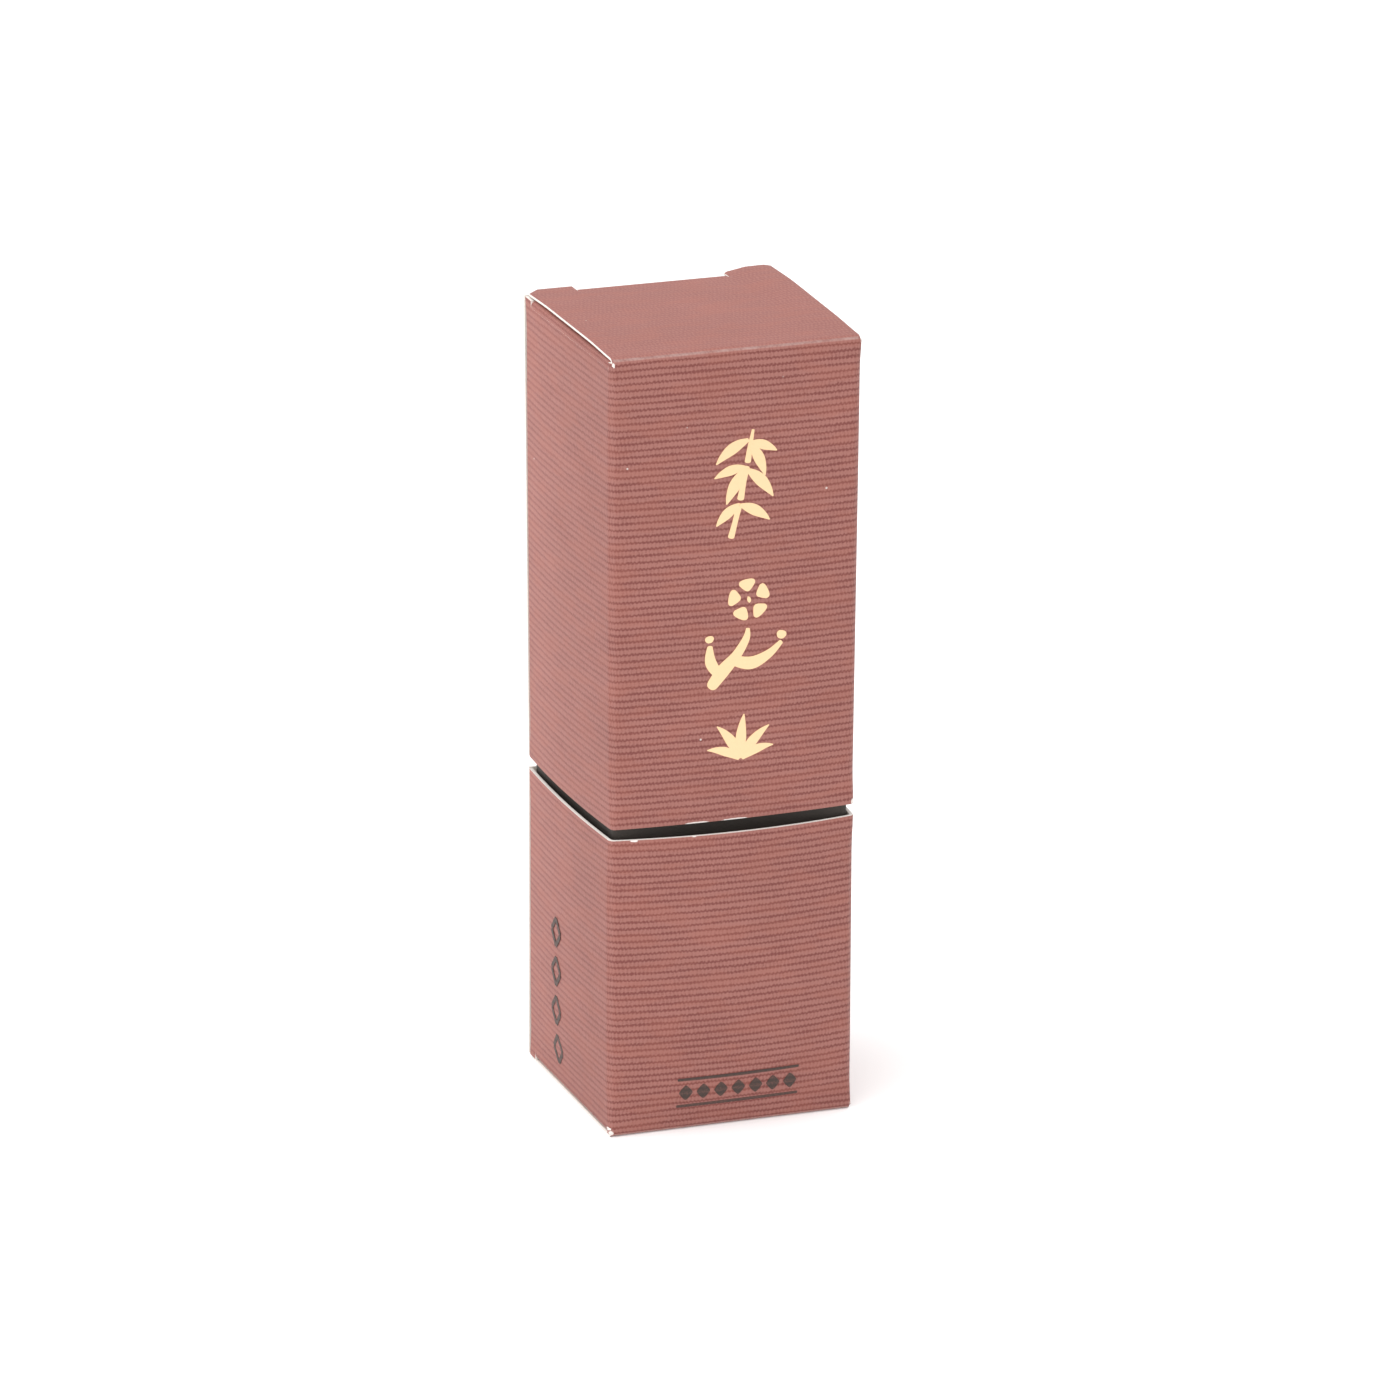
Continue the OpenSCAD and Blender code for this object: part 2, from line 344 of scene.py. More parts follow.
def cover_paper():
    """Ribbed printed paper: raised woven ribs, creases worn lighter with a painted highlight, painted
    light on the left wall's rear edge and on the end panels, specks and torn spots.
    """
    finish = finishes()
    look = Look("ribbed_cover", IOR=1.40)
    u, v = look.flat()
    place = look.point(u, v)
    drift = look.noise(look.point(u * 0.25, v), 0.9) - 0.5
    knot = look.noise(place, 2.4, 2.0, 0.6) - 0.5
    rows = (v + drift * 0.22 + knot * 0.18) / (sizes().rib / MM)
    ridge = look.cos(rows)
    row = look.math("FLOOR", rows + 0.5)
    shift = look.noise(look.point(u * 0.12, row * 3.7), 1.0, 1.0) - 0.5
    bumps = (u + drift * 0.3 + knot * 0.5) / (sizes().thread / MM) + row * 0.37 + shift
    thread = look.cos(bumps)
    fibre = look.noise(place, 7.0, 3.0, 0.65)

    # the ribs are clear on the front and flatter round it, most of all on the end panels
    from_front = abs(u - FRONT_MID / MM)
    clear = 1 - look.step(from_front, *FRONT_CLEAR) * SIDE_FLAT
    beyond = abs(v - TOP / 2 / MM) - TOP / 2 / MM
    clear = clear * (1 - look.step(beyond, *END_CLEAR) * END_FLAT)
    weave = (thread - 0.5) * 0.45 + (fibre - 0.5) * 1.7 + knot * 0.7
    share = look.step(ridge + thread * 0.15, 0.02, 0.75)
    share = (share - 0.7) * clear + 0.66 + weave * (clear * 0.35 + 0.65) + shift * clear * 0.7
    colour = look.blend(finish.rib_dark, finish.rib_light, share)
    cloud = look.noise(place, 0.12, 3.0)
    warm = look.step(look.noise(look.point(u * 0.3, v), 0.55, 2.0), 0.45, 0.62)
    colour = look.blend(colour, finish.rib_warm, warm * WARM)
    # painted light: lighter towards the left wall's rear edge and on the end panels
    painted_light = look.near(u, *REAR_PAINTED_LIGHT) * REAR_PAINTED_LIGHT_GAIN + look.step(beyond, *END_CLEAR) * END_PAINTED_LIGHT_GAIN
    colour = look.tint(colour, cloud * CLOUD + painted_light + GAIN)

    # creases are worn lighter and carry a painted highlight
    rub_and_highlight = 0.0
    for line in range(5):
        rub_and_highlight = look.math("MAXIMUM", rub_and_highlight, look.near(u - line * SIDE / MM, *WALL_RUB_HIGHLIGHT))
    rub_and_highlight = rub_and_highlight * WALL_WEAR_AND_HIGHLIGHT
    front = 1 - look.step(from_front, *FRONT_RUB_HIGHLIGHT)
    for line in (0, TOP / MM):
        rub_and_highlight = look.math("MAXIMUM", rub_and_highlight, look.near(v - line, *END_RUB_HIGHLIGHT) * front)
    patchy = look.step(look.noise(place, 0.8, 4.0, 0.7), 0.32, 0.7)
    rubbed_lit_colour = tuple(mix(c, r, 0.3) for c, r in zip(finish.rib_light, finish.raw))
    colour = look.blend(colour, rubbed_lit_colour, rub_and_highlight * (patchy * 0.4 + 0.3))

    # pale specks in the paper, and torn spots
    reach = look.node("TexVoronoi", {}, {"Vector": place, "Scale": 0.22})
    chance = look.also(reach, "Color")
    speck = (1 - look.step(reach, 0.015, 0.035)) * look.step(chance, 0.52, 0.56)
    ragged = (look.noise(place, 3.0, 4.0, 0.7) - 0.5) * RAGGED
    torn = 0.0
    for at_u, at_v, half_u, half_v in TORN:
        far = look.math("POWER", (u - at_u) * (1 / half_u), 2.0)
        far = far + look.math("POWER", (v - at_v) * (1 / half_v), 2.0)
        spot = 1 - look.step(far + ragged, 0.75, 1.15)
        torn = look.math("MAXIMUM", torn, spot)
    colour = look.blend(colour, finish.raw, look.math("MAXIMUM", torn, speck * SPECK))

    height = ridge * (thread * 0.45 + 0.55) * clear * 0.7 + fibre * 0.3
    look.relief(height, PAPER_DEPTH)
    return look.wear(Base_Color=colour, Roughness=0.52 + fibre * 0.14)


def paper(name, colour, rough, grain):
    """Plain fibrous paper board."""
    look = Look(name, IOR=1.45)
    place = look.solid()
    fibre = look.noise(place, 3.5, 4.0, 0.7)
    cloud = look.noise(place, 0.25, 2.0)
    look.relief(fibre, grain)
    return look.wear(Base_Color=look.tint(tuple(colour), fibre * 0.3 + cloud * 0.16 + 0.77),
                     Roughness=rough + fibre * 0.12)


def gold_foil():
    """Hot-stamped foil with a soft metal sheen, pressed flat on the ribs."""
    look = Look("stamped_foil", Metallic=1.0)
    u, v = look.flat()
    place = look.point(u, v)
    grain = look.noise(place, 4.0, 3.0, 0.6)
    ridge = look.cos(v / (sizes().rib / MM))
    look.relief(ridge * 0.5 + grain * 0.5, 0.006 * MM)
    return look.wear(Base_Color=look.tint(tuple(finishes().foil), grain * 0.10 + 0.95),
                     Roughness=0.34 + grain * 0.12)


def black_print():
    """Ink that lets the ribs show through."""
    look = Look("printed_ink", IOR=1.45)
    u, v = look.flat()
    place = look.point(u, v)
    grain = look.noise(place, 5.0, 3.0, 0.65)
    ridge = look.cos(v / (sizes().rib / MM))
    look.relief(ridge * 0.7 + grain * 0.3, 0.02 * MM)
    ink = tuple(finishes().ink)
    worn = tuple(mix(a, b, 0.22) for a, b in zip(ink, finishes().rib_light))
    return look.wear(Base_Color=look.blend(ink, worn, look.step(grain + ridge * 0.2, 0.5, 0.85)),
                     Roughness=0.5 + grain * 0.15)


def incense_powder():
    """Pressed wood powder, with lighter and darker grains."""
    look = Look("wood_powder", IOR=1.4)
    place = look.solid()
    grain = look.noise(place, 2.2, 5.0, 0.75)
    cloud = look.noise(place, 0.2, 2.0)
    dark = tuple(finishes().incense)
    pale = tuple(1.9 * c for c in dark)
    look.relief(grain, 0.12 * MM)
    share = look.step(grain * 0.8 + cloud * 0.2, 0.3, 0.75)
    return look.wear(Base_Color=look.blend(dark, pale, share), Roughness=0.9 + grain * 0.1)


MAKERS = {
    "ribbed_cover": cover_paper,
    "bare_board": lambda: paper("bare_board", finishes().back, 0.72, 0.02 * MM),
    "cut_edge": lambda: paper("cut_edge", finishes().raw, 0.85, 0.05 * MM),
    "black_board": lambda: paper("black_board", finishes().sleeve, 0.62, 0.03 * MM),
    "stamped_foil": gold_foil,
    "printed_ink": black_print,
    "wood_powder": incense_powder,
}


def material(name):
    """The material of that name, made when it is first asked for."""
    return bpy.data.materials.get(name) or MAKERS[name]()


# ---- mesh work


def clear_selection():
    if bpy.context.object and bpy.context.object.mode != "OBJECT":
        bpy.ops.object.mode_set(mode="OBJECT")
    bpy.ops.object.select_all(action="DESELECT")


def only(piece):
    """Makes a piece the only one selected, and the active one."""
    clear_selection()
    piece.select_set(True)
    bpy.context.view_layer.objects.active = piece


def soften(piece, degrees):
    """Shades a piece smooth over edges blunter than that."""
    only(piece)
    bpy.ops.object.shade_smooth_by_angle(angle=math.radians(degrees))


def edit(piece):
    """Goes into edit mode on a piece, with all of it selected."""
    only(piece)
    bpy.ops.object.mode_set(mode="EDIT")
    bpy.ops.mesh.select_all(action="SELECT")


def pick(piece, wanted):
    """Selects the faces whose middle is wanted, in edit mode, and says whether there are any."""
    bpy.ops.mesh.select_all(action="DESELECT")
    bpy.ops.object.mode_set(mode="OBJECT")
    found = [face for face in piece.data.polygons if wanted(face.center)]
    for face in found:
        face.select = True
    bpy.ops.object.mode_set(mode="EDIT")
    return bool(found)


def sheet(name, low, high, step):
    """A flat sheet of small squares between two corners, in the XY plane."""
    clear_selection()
    width, length = high[0] - low[0], high[1] - low[1]
    bpy.ops.mesh.primitive_grid_add(
        x_subdivisions=max(1, round(width / step)), y_subdivisions=max(1, round(length / step)),
        size=1, location=(0, 0, 0))
    piece = bpy.context.object
    piece.name = piece.data.name = name
    edit(piece)
    bpy.ops.transform.resize(value=(width, length, 1))
    bpy.ops.transform.translate(value=((low[0] + high[0]) / 2, (low[1] + high[1]) / 2, 0))
    return piece


def cut(places, along_v=False):
    """Adds a line of edges across the sheet in edit mode at each u, or at each v."""
    for place in places:
        bpy.ops.mesh.select_all(action="SELECT")
        bpy.ops.mesh.bisect(
            plane_co=(0, place, 0) if along_v else (place, 0, 0),
            plane_no=(0, 1, 0) if along_v else (1, 0, 0), threshold=1e-7)


def trim(piece, point, normal, wanted=lambda middle: True):
    """Cuts away what lies beyond a line, from the wanted faces."""
    if pick(piece, wanted):
        bpy.ops.mesh.bisect(plane_co=(*point, 0), plane_no=(*normal, 0), clear_outer=True,
                            threshold=1e-7)


def drop(piece, wanted):
    """Deletes the wanted faces."""
    if pick(piece, wanted):
        bpy.ops.mesh.delete(type="FACE")


def round_corner(piece, corner, radius, toward, cuts=6):
    """Rounds a sheet's corner; toward gives the signs of u and v from the sheet's middle to it."""
    centre = (corner[0] - toward[0] * radius, corner[1] - toward[1] * radius)
    for i in range(1, cuts):
        angle = math.pi / 2 * i / cuts
        normal = (toward[0] * math.cos(angle), toward[1] * math.sin(angle))
        point = (centre[0] + radius * normal[0], centre[1] + radius * normal[1])
        trim(piece, point, normal,
             lambda middle: toward[0] * (middle.x - corner[0]) > -radius - 2 * MM
             and toward[1] * (middle.y - corner[1]) > -radius - 2 * MM)


def write_map(piece):
    """Keeps each point's place on the flat board as its UV map."""
    bpy.ops.object.mode_set(mode="OBJECT")
    for layer in list(piece.data.uv_layers):
        piece.data.uv_layers.remove(layer)
    layer = piece.data.uv_layers.new(name=MAP)
    for loop in piece.data.loops:
        place = piece.data.vertices[loop.vertex_index].co
        layer.data[loop.index].uv = (place.x / FLAT, place.y / FLAT)


def bend(piece, shape):
    """Moves each point from its flat place to its folded one."""
    for point in piece.data.vertices:
        point.co = shape(point.co.x, point.co.y)
    piece.data.update()


def apply(piece, kind, **settings):
    """Adds a modifier and applies it."""
    only(piece)
    modifier = piece.modifiers.new(kind, kind)
    for name, value in settings.items():
        setattr(modifier, name, value)
    bpy.ops.object.modifier_apply(modifier=modifier.name)


CRUSH = 0.12 * MM  # how far a cut edge is crushed on the board's back
CRISP = 0.25  # and the share of that on its printed side
PRINT, BACK, RIM = 0, 1, 2  # places of a board's three materials
SEAM = "seam"  # marks the points where the board goes on in the next piece
TOUCH = 0.01 * MM  # places nearer than that are the same
BOARD_ANGLE = 50  # degrees at which an edge stays sharp, on a board,
FILM_ANGLE = 40  # on foil and print,
CONE_ANGLE = 50  # and on a cone


def mark_seam(piece, wanted):
    """Marks the wanted points of a flat piece as its seam to the next piece."""
    mark = piece.data.attributes.get(SEAM) or piece.data.attributes.new(SEAM, "FLOAT", "POINT")
    for point, value in zip(piece.data.vertices, mark.data):
        if wanted(point.co):
            value.value = 1


def seam_along(piece, v, start, stop):
    """Marks a flat piece's points at that height, between two places u, as its seam."""
    mark_seam(piece, lambda point: abs(point.y - v) < TOUCH
              and start - TOUCH < point.x < stop + TOUCH)


def crush_edges(piece):
    """Rounds the board's cut edges, more on its back than on its printed side."""
    seam = {point.index for point, mark in zip(piece.data.vertices, piece.data.attributes[SEAM].data)
            if mark.value > 0.5}
    sides = {}
    for face in piece.data.polygons:
        for key in face.edge_keys:
            sides.setdefault(key, set()).add(face.material_index)
    weights = piece.data.attributes.new("bevel_weight_edge", "FLOAT", "EDGE")
    for edge in piece.data.edges:
        sorts = sides[edge.key]
        if RIM in sorts and not seam.issuperset(edge.vertices):
            weights.data[edge.index].value = 1 if BACK in sorts else CRISP if PRINT in sorts else 0
    apply(piece, "BEVEL", width=CRUSH, segments=2, limit_method="WEIGHT", material=RIM,
          use_clamp_overlap=True)


def finish_board(piece, finishes_of_sides, thickness):
    """Gives a folded sheet its thickness, its materials and soft shading."""
    for name in finishes_of_sides:
        piece.data.materials.append(material(name))
    last = len(finishes_of_sides) - 1
    apply(piece, "SOLIDIFY", thickness=thickness, offset=-1, use_even_offset=True,
          material_offset=min(BACK, last), material_offset_rim=min(RIM, last))
    if last:
        crush_edges(piece)
    soften(piece, BOARD_ANGLE)
    return piece


PRINTED = ("ribbed_cover", "bare_board", "cut_edge")


class Route:
    """A line through corners, each rounded as it is followed. Its outer face is on its right."""

    def __init__(self, *corners):
        self.corners = [Vector(corner) for corner in corners]
        self.ways = [(b - a).normalized() for a, b in zip(self.corners, self.corners[1:])]
        self.marks = [0.0]
        for a, b in zip(self.corners, self.corners[1:]):
            self.marks.append(self.marks[-1] + (b - a).length)

    def at(self, distance, radius):
        """The point and the outward normal at a distance along the line."""
        last = 0
        for i in range(1, len(self.ways)):
            way, next_way = self.ways[i - 1], self.ways[i]
            turn = math.atan2(way.x * next_way.y - way.y * next_way.x, way.dot(next_way))
            reach = radius * math.tan(abs(turn) / 2)
            ahead = distance - self.marks[i]
            if abs(ahead) < reach:
                normal = Vector((way.y, -way.x))
                centre = self.corners[i] - way * reach - normal * radius
                angle = turn * (ahead + reach) / (2 * reach)
                c, s = math.cos(angle), math.sin(angle)
                normal = Vector((normal.x * c - normal.y * s, normal.x * s + normal.y * c))
                return centre + normal * radius, normal
            if ahead > 0:
                last = i
        way = self.ways[last]
        return self.corners[last] + way * (distance - self.marks[last]), Vector((way.y, -way.x))


# ---- walls

TAB_GAP = 0.02 * MM  # free space between a glue tab and the wall behind it
TAB_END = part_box("base_glue_tab")[1].x  # the glue tab's free edge
FOLD_BACK = 0.42 * MM  # how far the tab's fold is in from the back wall
BACK_END = 0.05 * MM  # the back wall's free edge, in from the left face
TAB_SLANT = 1.2 * MM  # how far a glue tab's ends slant over its width
TAB_Y = HALF - BOARD - TAB_GAP
WALL = Route((TAB_END, TAB_Y), (-HALF, TAB_Y), (-HALF, -HALF), (HALF, -HALF), (HALF, HALF),
             (BACK_END - HALF, HALF))
WALL_START = FOLD_BACK - (TAB_END + HALF)  # u of the tab's free edge
LEAD = 2 * BOARD  # the end panels begin that far below the end plane
SIDE_LEAD = 3 * BOARD  # and the dust flaps that far
CREASE_STEPS = [step * MM for step in (-0.9, -0.6, -0.3, 0, 0.3, 0.6, 0.9)]
PANELS = ("left", "front", "right", "back")


class Tube:
    """The four walls of the cap or of the base, whose folded end is at height end."""

    def __init__(self, end, rim, bows, run, drift=(0, 0, 0, 0)):
        self.end = end
        self.rim = rim
        self.bows = bows
        self.run = run
        self.drift = drift

    def bow(self, u, v):
        """How far the wall bows outwards there."""
        x = u / SIDE + (4 if u < 0 else 0)
        panel = min(int(x), 3)
        share = x - panel
        near, far = self.bows[PANELS[panel]]
        ahead = abs(v - self.end) - LEAD
        rise = near * smooth(ahead / (3 * MM)) + far * smooth(ahead / self.run)
        return rise * 4 * share * (1 - share)

    def corner_value(self, values, u):
        """A value given at the rear left, front left, front right and rear right, between them."""
        x = min(max(u / SIDE, 0), 4)
        corner = min(int(x), 3)
        return mix(values[corner], values[(corner + 1) % 4], x - corner)

    def radius(self, v):
        """The crease's radius, sharper towards the tube's two ends."""
        free = min(abs(v - self.end), abs(v - self.rim))
        return mix(sizes().crease_end, sizes().crease, smooth(free / (4 * MM)))

    def place(self, u, v, lift=0.0):
        """The folded place of a flat point, lifted off the face."""
        point, normal = WALL.at(u - WALL_START, self.radius(v))
        out = point + normal * (self.bow(u, v) + lift)
        share = 1 - abs(v - self.rim) / abs(self.end - self.rim)
        rise = self.corner_value(self.drift, u) * smooth(share)
        return settle(Vector((out.x, out.y, v + rise)))


CAP = Tube(TOP, cap_low.z, run=16 * MM, bows={
    "left": (0.15 * MM, 0.35 * MM), "front": (0.30 * MM, 0.40 * MM),
    "right": (0.20 * MM, 0.30 * MM), "back": (0.10 * MM, 0.20 * MM)})
BASE = Tube(0.0, base_high.z, run=9 * MM, bows={
    "left": (0.05 * MM, 0.42 * MM), "front": (0.40 * MM, 1.05 * MM),
    "right": (0.15 * MM, 0.40 * MM), "back": (0.10 * MM, 0.30 * MM)},
    drift=(-0.30 * MM, 0.0, -0.15 * MM, -0.20 * MM))


def dust_span(side):
    """The stretch of u that a dust flap's fold takes up."""
    if side == "left":
        return HALF - dust_high.y, HALF - dust_low.y
    return RIGHT_MID + dust_low.y, RIGHT_MID + dust_high.y


def walls(name, tube, tab_node):
    """One tube of board with its glue tab: flat, cut out, folded and given its thickness."""
    up = 1 if tube.end > tube.rim else -1
    full = tube.end - up * (BOARD + SLIP)
    low, high = sorted((tube.rim, full))
    piece = sheet(name, (WALL_START, low), (4 * SIDE - BACK_END, high), sizes().grain)
    cut([FOLD_BACK + step for step in CREASE_STEPS])
    cut([corner * SIDE + step for corner in (1, 2, 3) for step in CREASE_STEPS])

    # make room for the end panel's crease and for the dust flaps' folds
    inset = HALF - lid_high.x
    front = (SIDE + inset, 2 * SIDE - inset)
    shelf = tube.end - up * LEAD
    side_shelf = tube.end - up * SIDE_LEAD
    cut([*front, *dust_span("left"), *dust_span("right")])
    cut([shelf, side_shelf], along_v=True)
    drop(piece, lambda middle: front[0] < middle.x < front[1] and up * (middle.y - shelf) > 0)
    for side in ("left", "right"):
        start, stop = dust_span(side)
        drop(piece, lambda middle: start < middle.x < stop and up * (middle.y - side_shelf) > 0)

    # the glue tab is shorter than the walls, and its ends slant
    slant = TAB_SLANT / (FOLD_BACK - WALL_START)
    for corner, way in zip(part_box(tab_node), (-1, 1)):
        trim(piece, (FOLD_BACK, corner.z), (-slant, way), lambda middle: middle.x < FOLD_BACK)

    write_map(piece)
    seam_along(piece, shelf, *front)
    seam_along(piece, side_shelf, *dust_span("left"))
    seam_along(piece, side_shelf, *dust_span("right"))
    bend(piece, tube.place)
    return finish_board(piece, PRINTED, BOARD)


class CARTON_OT_walls(bpy.types.Operator):
    """Fold the cap's and the base's walls, each with its glue tab"""
    bl_idname = "carton.walls"
    bl_label = "Walls"

    def execute(self, context):
        cap = walls("cap_shell", CAP, "cap_glue_tab")
        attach(cap, "cap")
        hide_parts("cap_walls", "cap_glue_tab")
        base = walls("base_shell", BASE, "base_glue_tab")
        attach(base, "base")
        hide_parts("base_walls", "base_glue_tab")
        return {"FINISHED"}


# ---- end panels and flaps


class End:
    """The carton's top or underside: says where a depth below its end plane lies."""

    def __init__(self, top):
        self.top = top
        self.up = 1 if top else -1

    def reach(self, v):
        """How far a flat point lies beyond the front crease, towards the back."""
        return v - TOP if self.top else -v

    def flat(self, reach):
        return TOP + reach if self.top else -reach

    def height(self, depth):
        return TOP - depth if self.top else depth

    def sheet(self, name, start, stop, near, far):
        """A sheet from one u to another, and from one reach to another."""
        low, high = sorted((self.flat(near), self.flat(far)))
        return sheet(name, (start, low), (stop, high), sizes().grain)


ENDS = {True: End(True), False: End(False)}
JOIN_Y = CREASE_Y - 0.6 * MM  # where the end panel's board meets the tuck flap's piece
SHOULDER_X = 8.5 * MM  # inner ends of the shoulders
NECK = SHOULDER_X - SLIP
LEAN = math.radians(16)  # a closed tuck flap's lean, away from the back wall
FOLD_SHARES = (-1, -0.67, -0.33, 0, 0.33, 0.67, 1)  # lines across a fold, in radii from its middle
END_BOARD = 0.30 * MM  # drawn thinner than the frame's board, as its edge looks
MIDDLE_SWELL = 0.20 * MM  # how far the lid rises in its middle
CORNER_SWELL = 0.42 * MM  # and at its rear right shoulder
TAPER = 0.45 / 28  # an end panel's left edge runs in by that share
LEFT_IN = 0.5 * MM  # from the left edge to where its shoulder is cut
LEFT_FALL = 0.24  # slope of the left shoulder's rear edge
LEFT_CUT = 0.9 * MM  # size of the left shoulder's cut corner
RIGHT_CUT = 0.6 * MM  # size of the right shoulder's cut corner
SLIT_CUT = 0.5 * MM  # size of the right shoulder's corner at the slit
SLIT_STEEP = 2.4  # and its slope
TUCK_CORNER = 0.53 * MM  # from the tuck crease to where the printed faces would meet
TUCK_RADIUS = 0.55 * MM  # radius outside the tuck crease
TUCK_SLIT = 0.95 * MM  # from the tuck crease to the ends of the slits
TUCK_EXTRA = 0.35 * MM  # a tuck flap is drawn that much deeper
TUCK_ROUND = 3.5 * MM  # radius of its two corners
DUST_CUT = 1.3 * MM  # how far a dust flap's front edge is cut at the fold
DUST_ROUND = 2 * MM  # radius of its rear corner
SWELL_RUN = 3.5  # the lid reaches its middle's rise within 1 / that of its depth
SHOULDER_RUN = 3 * MM  # and its shoulder's rise over that width


def panel_place(end, u, v):
    """Folded place of a flat point on an end panel; the lid's middle and rear right rise a little."""
    route = Route((-HALF, LEAD), (-HALF, 0), (SIDE, 0))
    reach = end.reach(v)
    point, normal = route.at(LEAD + reach, sizes().fold)
    x = u - FRONT_MID
    swell = 0.0
    if end.top:
        rear = reach / SIDE
        swell = MIDDLE_SWELL * smooth(SWELL_RUN * rear) * smooth(SWELL_RUN - SWELL_RUN * rear)
        swell += CORNER_SWELL * smooth((x - SHOULDER_X) / SHOULDER_RUN) * smooth(rear)
    point = point + normal * swell
    return settle(Vector((x, point.x, end.height(point.y))))


def end_panel(name, top):
    """The panel that closes an end, with its crease to the front wall."""
    end = ENDS[top]
    half = lid_high.x
    piece = end.sheet(name, FRONT_MID - half, FRONT_MID + half, -LEAD, SIDE)
    fold_steps = [sizes().fold * share for share in FOLD_SHARES]
    cut([end.flat(step) for step in fold_steps] + [end.flat(HALF + JOIN_Y)], along_v=True)
    cut([FRONT_MID - SHOULDER_X, FRONT_MID + SHOULDER_X])
    drop(piece, lambda middle: abs(middle.x - FRONT_MID) < SHOULDER_X
         and end.reach(middle.y) > HALF + JOIN_Y)

    def on_left(middle):
        return middle.x < FRONT_MID - SHOULDER_X

    def on_right(middle):
        return middle.x > FRONT_MID + SHOULDER_X

    # the left edge runs inwards to the back, and both shoulders are cut at their corners
    left = FRONT_MID - half
    cut_at = left + LEFT_IN
    trim(piece, (left, end.flat(0)), (-1, -end.up * TAPER))
    trim(piece, (cut_at, end.flat(SIDE)), (-LEFT_FALL, end.up), on_left)
    trim(piece, (cut_at, end.flat(SIDE - LEFT_CUT)), (-1, end.up), on_left)
    trim(piece, (FRONT_MID + half, end.flat(SIDE - RIGHT_CUT)), (1, end.up), on_right)
    trim(piece, (FRONT_MID + SHOULDER_X, end.flat(SIDE - SLIT_CUT)), (-1, end.up * SLIT_STEEP),
         on_right)
    write_map(piece)
    mark_seam(piece, lambda point: end.reach(point.y) < TOUCH - LEAD)
    seam_along(piece, end.flat(HALF + JOIN_Y), FRONT_MID - SHOULDER_X, FRONT_MID + SHOULDER_X)
    bend(piece, lambda u, v: panel_place(end, u, v))
    return finish_board(piece, PRINTED, END_BOARD)


def tuck_flap(name, top):
    """The flap that goes in behind the back wall, with its crease to the end panel."""
    end = ENDS[top]
    corner = CREASE_Y + TUCK_CORNER
    length = tuck_high.z - tuck_low.z
    route = Route((JOIN_Y, 0), (corner, 0),
                  (corner - math.sin(LEAN) * SIDE, math.cos(LEAN) * SIDE))
    fold = corner - JOIN_Y
    full = fold + (length + TUCK_EXTRA) / math.cos(LEAN)
    start = HALF + JOIN_Y
    half = tuck_high.x
    piece = end.sheet(name, FRONT_MID - half, FRONT_MID + half, start, start + full)
    reach = TUCK_RADIUS * math.tan((math.pi / 2 + LEAN) / 2)
    cut([end.flat(start + fold + reach * share) for share in FOLD_SHARES], along_v=True)
    slit = start + fold + TUCK_SLIT
    cut([end.flat(slit)], along_v=True)
    cut([FRONT_MID - NECK, FRONT_MID + NECK])
    drop(piece, lambda middle: abs(middle.x - FRONT_MID) > NECK and end.reach(middle.y) < slit)
    for side in (-1, 1):
        tip = (FRONT_MID + side * half, end.flat(start + full))
        round_corner(piece, tip, TUCK_ROUND, (side, end.up))
    write_map(piece)
    mark_seam(piece, lambda point: end.reach(point.y) < start + TOUCH)

    def place(u, v):
        point = route.at(end.reach(v) - start, TUCK_RADIUS)[0]
        return settle(Vector((u - FRONT_MID, point.x, end.height(point.y))))

    bend(piece, place)
    return finish_board(piece, PRINTED, BOARD)


def dust_flap(name, top, side):
    """The flap under an end panel, with its fold to the side wall."""
    end = ENDS[top]
    turn = -1 if side == "left" else 1  # the route is drawn on the left
    start, stop = dust_span(side)
    route = Route((-HALF, SIDE_LEAD), (-HALF, FLAP_DEPTH), (0, FLAP_DEPTH))
    radius = min(sizes().fold, SIDE_LEAD - FLAP_DEPTH - BOARD / 4)
    width = dust_high.x + HALF
    piece = end.sheet(name, start, stop, -SIDE_LEAD, width - FLAP_DEPTH)
    steps = [radius * share - FLAP_DEPTH for share in FOLD_SHARES]
    cut([end.flat(step) for step in steps], along_v=True)
    front, front_way = (stop, 1) if side == "left" else (start, -1)
    back = start if side == "left" else stop
    trim(piece, (front, end.flat(DUST_CUT)), (front_way * 2, end.up))
    round_corner(piece, (back, end.flat(width - FLAP_DEPTH)), DUST_ROUND, (-front_way, end.up))
    write_map(piece)
    mark_seam(piece, lambda point: end.reach(point.y) < TOUCH - SIDE_LEAD)

    def place(u, v):
        point = route.at(end.reach(v) + SIDE_LEAD, radius)[0]
        y = LEFT_MID - u if side == "left" else u - RIGHT_MID
        return settle(Vector((-turn * point.x, y, end.height(point.y))))

    bend(piece, place)
    return finish_board(piece, PRINTED, BOARD)


class CARTON_OT_end_panels(bpy.types.Operator):
    """Fold the lid and the bottom panel over their front creases"""
    bl_idname = "carton.end_panels"
    bl_label = "End panels"

    def execute(self, context):
        for name, top, node, wall, panel in (
                ("lid_panel", True, "cap_lid", "cap", "lid"),
                ("bottom_panel", False, "base_bottom", "base", "bottom")):
            piece = end_panel(name, top)
            height = ENDS[top].height
            near, far = 0.4 * MM, 1.2 * MM
            middle = (near + far) / 2
            settle(Vector((0, near - HALF, height(LEAD))))
            settle(Vector((0, middle - HALF, height(LEAD + near - middle))))
            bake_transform(piece)
            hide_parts(node)
        return {"FINISHED"}


